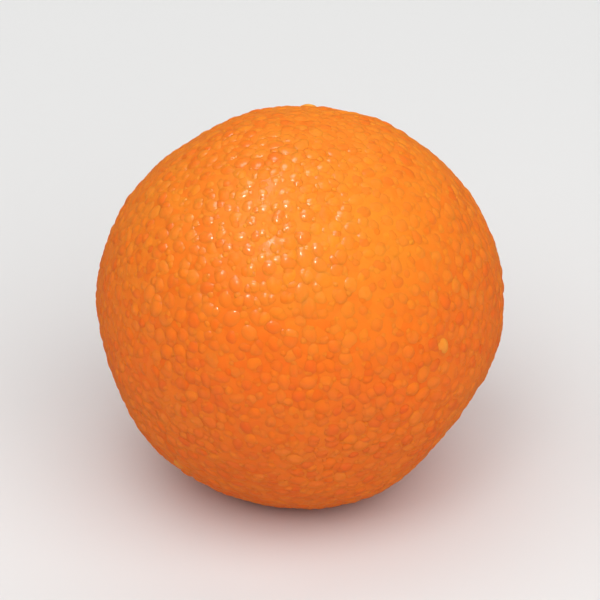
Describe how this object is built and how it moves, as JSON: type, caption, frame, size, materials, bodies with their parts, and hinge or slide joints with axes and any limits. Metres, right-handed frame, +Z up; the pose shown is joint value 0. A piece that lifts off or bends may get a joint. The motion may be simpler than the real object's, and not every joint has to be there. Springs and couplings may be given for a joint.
{
  "type": "boondi ladoo",
  "caption": "Hand-rolled ball of fine gram-flour boondi bound with sugar syrup, with softly pressed sides and a small flat to stand on.",
  "frame": {"origin": "middle of the underside, at the level of the flat that the ladoo stands on", "axes": "+Z up, square to the flat; the side that faces the viewer is -Y, and +X is to the viewer's right"},
  "size_m": [0.0454, 0.0452, 0.0433],
  "materials": {
    "boondi": "orange fried gram-flour boondi soaked in sugar syrup and pressed together; soft satin with small wet glints, redder in the creases"
  },
  "bodies": {
    "root": {"ladoo": "boondi"}
  },
  "joints": []
}
